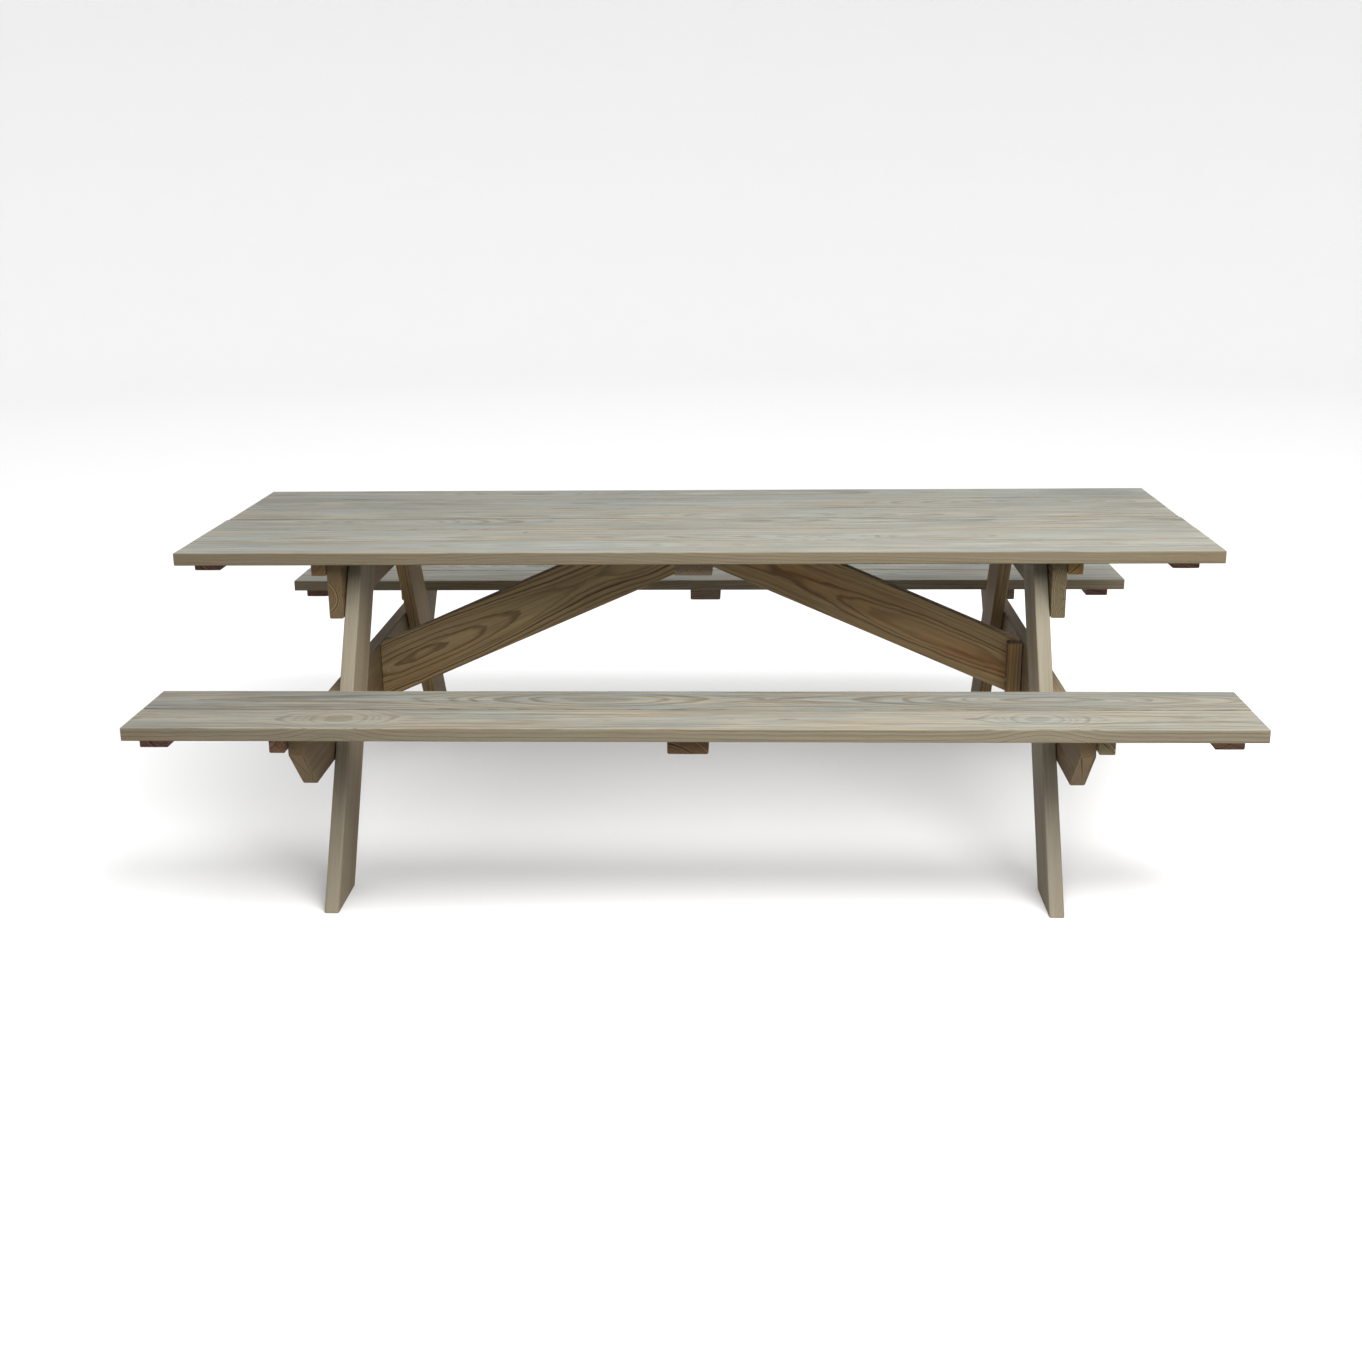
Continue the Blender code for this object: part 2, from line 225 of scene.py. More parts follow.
def rounded_section(width, thickness, radius):
    """Points (y, z, arris) round a sawn section. Arris is 1 at the middle of a rounded edge, 0 on flats."""
    flat = width / 2 - radius
    side = thickness / 2 - radius
    points = []
    for quarter, (cy, cz) in enumerate(((flat, side), (-flat, side), (-flat, -side), (flat, -side))):
        for step in range(CORNER_SEGMENTS + 1):
            turn = step / CORNER_SEGMENTS
            angle = (quarter + turn) * HALF_PI
            y = cy + radius * math.cos(angle)
            z = cz + radius * math.sin(angle)
            points.append((y, z, math.sin(turn * math.pi)))
        if quarter % 2 == 0:
            count = max(1, round(2 * flat / FLAT_STEP))
            direction = -1 if quarter == 0 else 1
            z = points[-1][1]
            for step in range(1, count):
                points.append((direction * (2 * flat * step / count - flat), z, 0.0))
    return points


def blank(size, radius, seed):
    """A length of timber along X with slightly wavy faces, and its arris layer filled in."""
    length, width, thickness = size
    bm = bmesh.new()
    arris = bm.verts.layers.float.new("arris")
    outline = rounded_section(width - 2 * SKIN, thickness - 2 * SKIN, radius)
    stations = max(2, round(length / STATION_STEP))
    loops = []
    for station in range(stations + 1):
        x = length * (station / stations - 0.5)
        loop = []
        for y, z, edge in outline:
            spot = Vector((x * 2.3 + seed * 7.1, y * 19, z * 19 + seed))
            wave = WAVE * noise.noise_vector(spot)
            cup = CUP * (4 * (y / width) ** 2 - 1) * 0.5
            vert = bm.verts.new((x, y + wave.y, z * (1 - 2 * CUP / thickness) + wave.z + cup))
            vert[arris] = edge
            loop.append(vert)
        loops.append(loop)
    for before, after in zip(loops, loops[1:]):
        for step in range(len(outline)):
            follow = (step + 1) % len(outline)
            bm.faces.new((before[step], before[follow], after[follow], after[step]))
    bm.faces.new(list(reversed(loops[0])))
    bm.faces.new(loops[-1])
    return bm


def saw(bm, place, point, normal):
    """Saws off what lies beyond a plane given in the model's frame, and eases the edge of the cut."""
    arris = bm.verts.layers.float["arris"]
    to_local = place.inverted()
    plane_point = to_local @ Vector(point)
    plane_normal = (to_local.to_3x3() @ Vector(normal)).normalized()
    cut = bmesh.ops.bisect_plane(
        bm,
        geom=bm.verts[:] + bm.edges[:] + bm.faces[:],
        plane_co=plane_point,
        plane_no=plane_normal,
        clear_outer=True,
    )
    rim = [item for item in cut["geom_cut"] if isinstance(item, bmesh.types.BMEdge)]
    bmesh.ops.contextual_create(bm, geom=rim)
    rim = [edge for edge in rim if edge.is_valid]
    bmesh.ops.bevel(bm, geom=rim, offset=SAWN_ARRIS, segments=2, profile=0.5, affect="EDGES")
    caps = [
        face
        for face in bm.faces
        if len(face.verts) > 8 and abs(face.normal.dot(plane_normal)) > 0.999
        and abs((face.calc_center_median() - plane_point).dot(plane_normal)) < 1e-4
    ]
    for vert in bm.verts:
        if abs((vert.co - plane_point).dot(plane_normal)) < 1.2 * SAWN_ARRIS:
            vert[arris] = 0.8
    bmesh.ops.inset_individual(bm, faces=caps, thickness=CAP_INSET, use_even_offset=True)
    for face in caps:
        for vert in face.verts:
            vert[arris] = 0.0


def finish_mesh(bm, name, smooth_angle=SMOOTH_ANGLE):
    bmesh.ops.recalc_face_normals(bm, faces=bm.faces)
    mesh = bpy.data.meshes.new(name)
    bm.to_mesh(mesh)
    bm.free()
    mesh.shade_smooth()
    mesh.set_sharp_from_angle(angle=smooth_angle)
    return mesh


def put(name, mesh, node, material):
    """Adds a finished piece that stands for one CAD node."""
    piece = bpy.data.objects.new(name, mesh)
    bpy.context.scene.collection.objects.link(piece)
    mesh.materials.append(material)
    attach(piece, "root")
    if node:
        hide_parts(node)
    weighted = piece.modifiers.new("even_shading", "WEIGHTED_NORMAL")
    weighted.keep_sharp = True
    return piece


def timber_piece(node, place, size, radius, cuts, look, grain):
    """One timber: a blank laid along its own X by place, sawn by planes in the model's frame."""
    seed = seed_of(node)
    bm = blank(size, radius, seed)
    for point, normal in cuts:
        saw(bm, place, point, normal)
    bmesh.ops.transform(bm, matrix=place, verts=bm.verts)
    mesh = finish_mesh(bm, node + "_timber")
    material = timber_material(node, place, look, grain, seed)
    return put(node + "_timber", mesh, node, material)


def seed_of(name):
    return random.Random(name).uniform(0.0, 40.0)


# Node helpers


def add(tree, kind, inputs=(), **settings):
    """A new node. Inputs that are sockets are linked, and the others are set as values."""
    node = tree.nodes.new(kind)
    for key, value in settings.items():
        setattr(node, key, value)
    for key, value in dict(inputs).items():
        if isinstance(value, bpy.types.NodeSocket):
            tree.links.new(value, node.inputs[key])
        else:
            node.inputs[key].default_value = value
    return node


def calc(tree, operation, *values, clamp=False):
    node = add(tree, "ShaderNodeMath", enumerate(values), operation=operation, use_clamp=clamp)
    return node.outputs[0]


def vector_calc(tree, operation, *values):
    return add(tree, "ShaderNodeVectorMath", enumerate(values), operation=operation).outputs[0]


def step_between(tree, value, low, high, to_low=0.0, to_high=1.0):
    """Rises smoothly from to_low to to_high as value goes from low to high."""
    values = {"Value": value, "From Min": low, "From Max": high, "To Min": to_low, "To Max": to_high}
    return add(tree, "ShaderNodeMapRange", values, interpolation_type="SMOOTHSTEP").outputs[0]


def grain_noise(tree, position, along, across, detail=2.0, roughness=0.5):
    """Noise with its own frequency along the grain and across it, in cycles per metre."""
    stretched = vector_calc(tree, "MULTIPLY", position, (along, across, across))
    values = {"Vector": stretched, "Scale": 1.0, "Detail": detail, "Roughness": roughness}
    return add(tree, "ShaderNodeTexNoise", values)


def mix(tree, factor, first, second, blend="MIX"):
    node = add(tree, "ShaderNodeMix", data_type="RGBA", blend_type=blend)
    for index, value in ((0, factor), (6, first), (7, second)):
        if isinstance(value, bpy.types.NodeSocket):
            tree.links.new(value, node.inputs[index])
        elif index == 0:
            node.inputs[0].default_value = value
        else:
            node.inputs[index].default_value = (*value, 1.0)
    return node.outputs[2]


def multiplied(tree, colour, factors):
    return mix(tree, 1.0, colour, factors, "MULTIPLY")


def group_input(tree, kind, name):
    tree.interface.new_socket(name, in_out="INPUT", socket_type=kind)


# Timber material


def eye_shift(tree, along, eye):
    """How much nearer the pith is at this point, from an eye's (position, length, depth)."""
    parts = add(tree, "ShaderNodeSeparateXYZ", {0: eye}).outputs
    far = calc(tree, "DIVIDE", calc(tree, "SUBTRACT", along, parts[0]), parts[1])
    bell = calc(tree, "EXPONENT", calc(tree, "MULTIPLY", calc(tree, "MULTIPLY", far, far), -1.0))
    return calc(tree, "MULTIPLY", bell, calc(tree, "MULTIPLY", parts[2], -1.0))


def wander(tree, source, width):
    """A shift across the board, up to about half this width to each side, from a noise."""
    centred = vector_calc(tree, "SUBTRACT", source.outputs[1], (0.5, 0.5, 0.5))
    return vector_calc(tree, "MULTIPLY", centred, (0, width, width))


def across_from_pith(tree, given, spot):
    """How far across the board a point lies from the pith.

    The pith wanders along the board: a slope, two places where it comes closer as an eye, and noise."""
    place = add(tree, "ShaderNodeSeparateXYZ", {0: given["Position"]}).outputs
    pith = add(tree, "ShaderNodeSeparateXYZ", {0: given["Pith"]}).outputs
    slope = calc(tree, "MULTIPLY", place[0], pith[0])
    eye = eye_shift(tree, place[0], given["Eye"])
    other_eye = eye_shift(tree, place[0], given["Other eye"])
    eyes = calc(tree, "ADD", eye, other_eye)
    slow = wander(tree, grain_noise(tree, spot, 1.3, 6.0, 1.0), 0.016)
    quick = wander(tree, grain_noise(tree, spot, 13.0, 45.0, 3.0), 0.0048)
    off_y = calc(tree, "SUBTRACT", place[1], pith[1])
    off_z = calc(tree, "SUBTRACT", place[2], pith[2])
    off_z = calc(tree, "ADD", off_z, calc(tree, "ADD", slope, eyes))
    centre = add(tree, "ShaderNodeCombineXYZ", {1: off_y, 2: off_z}).outputs[0]
    return vector_calc(tree, "ADD", vector_calc(tree, "ADD", centre, slow), quick)


def knot_shift(tree, given):
    """The distance from the knot in knot radii, and how far the knot pushes the rings aside."""
    place = add(tree, "ShaderNodeSeparateXYZ", {0: given["Position"]}).outputs
    knot = add(tree, "ShaderNodeSeparateXYZ", {0: given["Knot"]}).outputs
    far_x = calc(tree, "MULTIPLY", calc(tree, "SUBTRACT", place[0], knot[0]), 0.6)
    far_y = calc(tree, "SUBTRACT", place[1], knot[1])
    squares = calc(tree, "ADD", calc(tree, "MULTIPLY", far_x, far_x), calc(tree, "MULTIPLY", far_y, far_y))
    knot_far = calc(tree, "DIVIDE", calc(tree, "SQRT", squares), calc(tree, "MAXIMUM", knot[2], 0.0001))
    fading = step_between(tree, knot_far, 0.6, 4.0, 1.0, 0.0)
    push = calc(tree, "MULTIPLY", fading, calc(tree, "MULTIPLY", knot[2], 1.2))
    return knot_far, push


def ring_band(tree, part, start, full):
    """The hard part of each ring, which sets in slowly and ends sharply."""
    sets_in = step_between(tree, part, start, full)
    ends = step_between(tree, part, 0.88, 0.99, 1.0, 0.0)
    return calc(tree, "MULTIPLY", sets_in, ends)


def growth_rings(tree, given, reach):
    """How far through its ring a point is, and how hard the wood is there. Width and strength are uneven."""
    source = {"W": calc(tree, "ADD", reach, given["Seed"]), "Scale": 55.0, "Detail": 1.0}
    uneven = add(tree, "ShaderNodeTexNoise", source, noise_dimensions="1D")
    count = calc(tree, "DIVIDE", reach, given["Ring"])
    count = calc(tree, "MULTIPLY_ADD", uneven.outputs[0], 2.4, count)
    part = calc(tree, "FRACT", count)
    which = calc(tree, "ADD", calc(tree, "FLOOR", count), given["Seed"])
    strength = add(tree, "ShaderNodeTexWhiteNoise", {"W": which}, noise_dimensions="1D").outputs[0]
    strength = calc(tree, "MULTIPLY_ADD", strength, 0.6, 0.4)
    late = calc(tree, "MULTIPLY", ring_band(tree, part, 0.40, 0.78), strength)
    return part, late


def streaked_colour(tree, given, spot, shown, fibre):
    """The long faces. Daylight greys the upper ones in streaks and leaves the hard rings darker; the greying
    is also painted sky light.
    """
    streak = grain_noise(tree, spot, 3.2, 75.0, 3.0, 0.6).outputs[0]
    thin = grain_noise(tree, spot, 6.5, 190.0, 2.0, 0.55).outputs[0]
    patch = grain_noise(tree, spot, 1.1, 11.0, 2.0).outputs[0]
    vein = grain_noise(tree, spot, 2.6, 120.0, 3.0, 0.6).outputs[0]
    weathered_and_sky_lit = mix(tree, step_between(tree, vein, 0.36, 0.62), given["Cool"], given["Warm"])
    # How far a face goes to the grey upper-face colour: real weathering and painted sky light on upward faces
    bleach_and_sky_light = calc(tree, "MULTIPLY", given["Up"], given["Weathering"])
    bleach_and_sky_light = calc(tree, "MULTIPLY", bleach_and_sky_light, step_between(tree, streak, 0.25, 0.6, 0.85, 1.05), clamp=True)
    soft = mix(tree, bleach_and_sky_light, given["Early"], weathered_and_sky_lit)
    hard = mix(tree, bleach_and_sky_light, given["Late"], multiplied(tree, weathered_and_sky_lit, (0.66, 0.585, 0.50)))
    colour = mix(tree, shown, soft, hard)
    heart_share = calc(tree, "MULTIPLY_ADD", bleach_and_sky_light, -0.7, 1.0)
    heart_share = calc(tree, "MULTIPLY", step_between(tree, patch, 0.46, 0.72), heart_share)
    colour = mix(tree, heart_share, colour, multiplied(tree, colour, given["Heart"]))
    wide_shade = calc(tree, "MULTIPLY_ADD", streak, 0.60, -0.30)
    thin_shade = calc(tree, "MULTIPLY_ADD", thin, 0.80, -0.40)
    amount = calc(tree, "SUBTRACT", given["Upper streaks"], given["Side streaks"])
    amount = calc(tree, "MULTIPLY_ADD", given["Up"], amount, given["Side streaks"])
    shade = calc(tree, "MULTIPLY_ADD", fibre, 0.34, 0.83)
    shade = calc(tree, "MULTIPLY_ADD", calc(tree, "ADD", wide_shade, thin_shade), amount, shade)
    grey = add(tree, "ShaderNodeCombineXYZ", {0: shade, 1: shade, 2: shade}).outputs[0]
    return multiplied(tree, colour, grey)


def end_cracks(tree, given, centre, reach, end):
    """Short cracks that run out from the pith, on sawn ends only."""
    apart = add(tree, "ShaderNodeSeparateXYZ", {0: centre}).outputs
    turn = calc(tree, "MULTIPLY", calc(tree, "ARCTAN2", apart[1], apart[2]), 9.0)
    outwards = calc(tree, "MULTIPLY", reach, 26.0)
    polar = add(tree, "ShaderNodeCombineXYZ", {0: turn, 1: outwards, 2: given["Seed"]}).outputs[0]
    crack = add(tree, "ShaderNodeTexNoise", {"Vector": polar, "Scale": 1.0, "Detail": 2.0}).outputs[0]
    from_middle = calc(tree, "ABSOLUTE", calc(tree, "SUBTRACT", crack, 0.5))
    return calc(tree, "MULTIPLY", step_between(tree, from_middle, 0.002, 0.010, 1.0, 0.0), end)


def end_colour(tree, given, colour, part, end, crack):
    """Rings and cracks on the sawn ends, laid over the colour of the long faces."""
    pale = multiplied(tree, given["Early"], (1.08, 1.10, 1.14))
    dark = multiplied(tree, given["Late"], (0.66, 0.68, 0.72))
    end_rings = mix(tree, ring_band(tree, part, 0.34, 0.58), pale, dark)
    colour = mix(tree, calc(tree, "MULTIPLY", end, 0.92), colour, end_rings)
    return mix(tree, calc(tree, "MULTIPLY", crack, 0.75), colour, (0.035, 0.024, 0.016))


def knot_and_arris_colour(tree, colour, knot_far, rub):
    """Dark wood in the knot, and rounded edges that are rubbed paler."""
    core = step_between(tree, knot_far, 0.55, 1.05, 1.0, 0.0)
    colour = mix(tree, calc(tree, "MULTIPLY", core, 0.8), colour, (0.075, 0.042, 0.020))
    arris = add(tree, "ShaderNodeAttribute", attribute_name="arris").outputs["Fac"]
    worn = calc(tree, "MULTIPLY", arris, step_between(tree, rub, 0.35, 0.7, 0.1, 0.75))
    return mix(tree, worn, colour, multiplied(tree, colour, (1.16, 1.13, 1.10)))


def timber_group():
    """Growth rings through the solid of a board, so that faces, edges and sawn ends agree."""
    tree = bpy.data.node_groups.new("timber_grain", "ShaderNodeTree")
    for name in ("Position", "Pith", "Eye", "Other eye", "Knot"):
        group_input(tree, "NodeSocketVector", name)
    for name in ("Seed", "Ring", "Contrast", "Weathering", "End", "Up", "Side streaks", "Upper streaks"):
        group_input(tree, "NodeSocketFloat", name)
    for name in ("Early", "Late", "Heart", "Cool", "Warm"):
        group_input(tree, "NodeSocketColor", name)
    tree.interface.new_socket("Color", in_out="OUTPUT", socket_type="NodeSocketColor")
    tree.interface.new_socket("Roughness", in_out="OUTPUT", socket_type="NodeSocketFloat")
    tree.interface.new_socket("Height", in_out="OUTPUT", socket_type="NodeSocketFloat")
    given = tree.nodes.new("NodeGroupInput").outputs
    result = tree.nodes.new("NodeGroupOutput")

    shift = add(tree, "ShaderNodeCombineXYZ", {0: given["Seed"], 1: given["Seed"], 2: given["Seed"]})
    spot = vector_calc(tree, "ADD", given["Position"], shift.outputs[0])
    centre = across_from_pith(tree, given, spot)
    knot_far, push = knot_shift(tree, given)
    reach = add(tree, "ShaderNodeVectorMath", {0: centre}, operation="LENGTH").outputs[1]
    reach = calc(tree, "ADD", reach, push)
    part, late = growth_rings(tree, given, reach)
    shown = calc(tree, "MULTIPLY", late, given["Contrast"])
    fibre = grain_noise(tree, spot, 14.0, 620.0, 3.0, 0.6).outputs[0]
    rub = grain_noise(tree, spot, 16.0, 60.0, 3.0).outputs[0]
    end = step_between(tree, given["End"], 0.55, 0.9)
    crack = end_cracks(tree, given, centre, reach, end)

    colour = streaked_colour(tree, given, spot, shown, fibre)
    colour = end_colour(tree, given, colour, part, end, crack)
    colour = knot_and_arris_colour(tree, colour, knot_far, rub)
    rough = calc(tree, "MULTIPLY_ADD", fibre, 0.16, 0.62)
    rough = calc(tree, "MULTIPLY_ADD", shown, -0.10, rough)
    rough = calc(tree, "MULTIPLY_ADD", end, 0.14, rough)
    height = calc(tree, "MULTIPLY_ADD", fibre, 0.55, calc(tree, "MULTIPLY", late, 0.35))
    height = calc(tree, "MULTIPLY_ADD", crack, -1.5, height)
    height = calc(tree, "MULTIPLY_ADD", rub, 0.25, height)
    tree.links.new(colour, result.inputs["Color"])
    tree.links.new(rough, result.inputs["Roughness"])
    tree.links.new(height, result.inputs["Height"])
    return tree


def timber_material(name, place, look, grain, seed):
    """The wood of one board. Grain gives where its pith runs, how it swings along the board, and any tint.

    The edge tint acts mainly on the sides and ends, which lack the upper faces' greying and painted sky light."""
    colours = LOOKS[look]
    draw = random.Random(name + look)
    tone = grain.get("tone", 1.0) * (1 + draw.uniform(-0.04, 0.04))
    warmth = draw.uniform(-0.03, 0.03)
    tint = grain.get("tint", (1.0, 1.0, 1.0))
    edge_tint = grain.get("edge_tint", (1.0, 1.0, 1.0))
    material = bpy.data.materials.new(name + "_wood")
    material.use_nodes = True
    tree = material.node_tree
    shader = tree.nodes["Principled BSDF"]
    where = tree.nodes.new("ShaderNodeTexCoord")
    turn = place.to_euler()
    mapping = add(
        tree,
        "ShaderNodeMapping",
        {"Vector": where.outputs["Object"], "Location": place.translation, "Rotation": turn},
        vector_type="TEXTURE",
    )
    along = place.to_3x3() @ Vector((1, 0, 0))
    dot = add(tree, "ShaderNodeVectorMath", {0: where.outputs["Normal"], 1: along}, operation="DOT_PRODUCT")
    up = add(tree, "ShaderNodeSeparateXYZ", {0: where.outputs["Normal"]}).outputs[2]
    values = {
        "Position": mapping.outputs[0],
        "Pith": (grain.get("slope", 0.0), grain.get("pith_y", 0.0), grain.get("pith_z", -0.06)),
        "Eye": grain.get("eye", (0.0, 0.3, 0.0)),
        "Other eye": grain.get("other_eye", (0.0, 0.3, 0.0)),
        "Knot": grain.get("knot", (9.0, 9.0, 0.001)),
        "Seed": seed,
        "Ring": grain.get("ring", colours["ring"]),
        "Contrast": grain.get("contrast", colours["contrast"]),
        "Weathering": colours["weathering_and_sky_light"],
        "End": calc(tree, "ABSOLUTE", dot.outputs["Value"]),
        "Up": step_between(tree, up, *colours["up"]),
        "Side streaks": colours["streaks"][0],
        "Upper streaks": colours["streaks"][1],
        "Heart": (*colours["heart"], 1.0),
    }
    for key in ("early", "late", "cool", "warm"):
        red, green, blue = colours[key]
        red, green, blue = (part * share for part, share in zip((red, green, blue), tint))
        if key in ("early", "late"):
            red, green, blue = (part * share for part, share in zip((red, green, blue), edge_tint))
        values[key.title()] = (red * (tone + warmth), green * tone, blue * (tone - warmth), 1.0)
    group = add(tree, "ShaderNodeGroup", node_tree=TIMBER_GRAIN)
    for key, value in values.items():
        if isinstance(value, bpy.types.NodeSocket):
            tree.links.new(value, group.inputs[key])
        else:
            group.inputs[key].default_value = value
    relief = {"Height": group.outputs["Height"], "Strength": 0.5, "Distance": 0.0006}
    bump = add(tree, "ShaderNodeBump", relief)
    tree.links.new(group.outputs["Color"], shader.inputs["Base Color"])
    tree.links.new(group.outputs["Roughness"], shader.inputs["Roughness"])
    tree.links.new(bump.outputs[0], shader.inputs["Normal"])
    shader.inputs["Specular IOR Level"].default_value = 0.15
    return material


# Timber pieces


def centre_and_size(node):
    low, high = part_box(node)
    return (low + high) / 2, high - low


def crosspiece_nodes():
    return [node for node in sorted(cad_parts) if "cleat" in node or "batten" in node]


def along_y(centre):
    return Matrix.Translation(centre) @ Matrix.Rotation(HALF_PI, 4, "Z")


def end_cuts(node, place, trim=0.0):
    """The two square cuts at the ends of a piece, each up to trim shorter than the CAD solid."""
    draw = random.Random(node)
    low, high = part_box(node)
    centre = (low + high) / 2
    axis = (place.to_3x3() @ Vector((1, 0, 0))).normalized()
    half = abs(axis.dot(high - low)) / 2
    cuts = []
    for sign in (-1, 1):
        reach = half - draw.uniform(0.2, 1.0) * trim
        cuts.append((centre + sign * reach * axis, sign * axis))
    return cuts


def build_decks():
    grains = {
        "tabletop_board_1": {
            "pith_y": 0.012,
            "pith_z": -0.085,
            "slope": 0.012,
            "eye": (-0.30, 0.30, 0.022),
            "contrast": 0.55,
        },
        "tabletop_board_2": {
            "pith_y": -0.03,
            "pith_z": -0.075,
            "slope": -0.016,
            "eye": (0.55, 0.25, 0.028),
            "knot": (-0.42, 0.03, 0.004),
        },
        "tabletop_board_3": {"pith_y": 0.03, "pith_z": -0.090, "slope": 0.018, "eye": (-0.75, 0.22, 0.030)},
        "tabletop_board_4": {"pith_y": -0.03, "pith_z": -0.080, "slope": 0.012, "eye": (0.20, 0.35, 0.020)},
        "tabletop_board_5": {"pith_y": 0.01, "pith_z": -0.095, "slope": -0.014, "eye": (0.85, 0.28, 0.025)},
        "tabletop_board_6": {"pith_y": 0.02, "pith_z": -0.085, "slope": 0.016, "eye": (-0.45, 0.25, 0.024)},
        "front_bench_board_outer": {
            "tint": (0.98, 0.93, 0.89),
            "edge_tint": (1.08, 1.20, 1.35),
            "pith_y": 0.004,
            "pith_z": -0.100,
            "slope": 0.004,
            "eye": (-0.76, 0.085, 0.024),
            "other_eye": (0.75, 0.085, 0.024),
            "contrast": 0.75,
        },
        "front_bench_board_inner": {
            "tint": (0.98, 0.93, 0.89),
            "pith_y": 0.006,
            "pith_z": -0.090,
            "slope": -0.008,
            "eye": (0.80, 0.36, 0.034),
            "other_eye": (-0.22, 0.26, 0.028),
        },
        "rear_bench_board_inner": {
            "pith_y": 0.01,
            "pith_z": -0.080,
            "slope": 0.010,
            "eye": (0.10, 0.28, 0.026),
            "tone": 1.12,
        },
        "rear_bench_board_outer": {
            "pith_y": -0.01,
            "pith_z": -0.090,
            "slope": -0.010,
            "eye": (-0.50, 0.25, 0.026),
            "tone": 1.12,
        },
    }
    for node, grain in grains.items():
        centre, size = centre_and_size(node)
        place = Matrix.Translation(centre)
        cuts = end_cuts(node, place, trim=0.0016)
        blank_size = (size.x + SAWING_ALLOWANCE, size.y, size.z)
        timber_piece(node, place, blank_size, SMALL_EDGE_RADIUS, cuts, "deck", grain)


def build_crosspieces():
    for node in crosspiece_nodes():
        centre, size = centre_and_size(node)
        place = along_y(centre)
        radius = EDGE_RADIUS if node.endswith("cleat_centre") else SMALL_EDGE_RADIUS
        blank_size = (size.y + SAWING_ALLOWANCE, size.x, size.z)
        draw = random.Random(node + "grain")
        grain = {
            "pith_y": draw.uniform(-0.03, 0.03),
            "pith_z": draw.choice((-1, 1)) * draw.uniform(0.02, 0.05),
            "slope": draw.uniform(-0.02, 0.02),
        }
        grain.update(END_GRAINS.get(node, {}))
        cuts = end_cuts(node, place, trim=0.001)
        look = "batten" if "batten" in node else "cleat"
        timber_piece(node, place, blank_size, radius, cuts, look, grain)


def build_frames():
    for side, sign in SIDES.items():
        for end, direction in ENDS.items():
            node = f"leg_{end}_{side}"
            low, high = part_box(node)
            upright = Matrix.Rotation(-HALF_PI, 4, "Y")
            lean = Matrix.Rotation(direction * LEG_SLOPE, 4, "X")
            place = Matrix.Translation((low + high) / 2) @ lean @ upright
            blank_size = (LEG_BLANK, BOARD_WIDTH, BOARD_THICKNESS)
            cuts = [(low + Vector((0, 0, SKIN)), (0, 0, -1)), (high, (0, 0, 1))]
            grain = {"pith_y": direction * 0.02, "pith_z": sign * 0.05, "slope": 0.014}
            look = "leg"
            if side == "right":
                grain["tone"] = 0.93
            # Rear legs take the darker rear-leg colours, and their tones set the depth of painted shade on
            # each, the right one darkest.
            if end == "rear":
                look = "rear_leg"
                grain["tone"] = 1.05 if side == "left" else 0.78
            timber_piece(node, place, blank_size, EDGE_RADIUS, cuts, look, grain)
        node = f"top_crossmember_{side}"
        centre, size = centre_and_size(node)
        place = along_y(centre) @ Matrix.Rotation(HALF_PI, 4, "X")
        blank_size = (size.y + SAWING_ALLOWANCE, size.z, size.x)
        grain = {"pith_y": -0.02, "pith_z": -0.045, "slope": 0.01, "ring": 0.0034}
        if side == "right":
            grain = {"pith_y": 0.0, "pith_z": 0.16, "slope": 0.01, "ring": 0.0034, "tint": (0.90, 1.06, 1.14)}
        cuts = end_cuts(node, place)
        timber_piece(node, place, blank_size, EDGE_RADIUS, cuts, "beam", grain)
        node = f"seat_beam_{side}"
        centre, size = centre_and_size(node)
        low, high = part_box(node)
        place = along_y(centre) @ Matrix.Rotation(HALF_PI, 4, "X")
        cuts = end_cuts(node, place)
        for direction in ENDS.values():
            nose = (centre.x, centre.y + direction * size.y / 2, high.z - SEAT_BEAM_NOSE)
            cuts.append((nose, (0, direction, -1)))
        grain = {"pith_y": -0.02, "pith_z": -0.05, "slope": -0.012, "ring": 0.0034}
        blank_size = (size.y + SAWING_ALLOWANCE, size.z, size.x)
        timber_piece(node, place, blank_size, EDGE_RADIUS, cuts, "beam", grain)


def brace_foot_top(node, foot_x):
    """Height of the upper corner of a brace's foot."""
    return max(v.co.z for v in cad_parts[node].data.vertices if abs(v.co.x - foot_x) < 0.001)


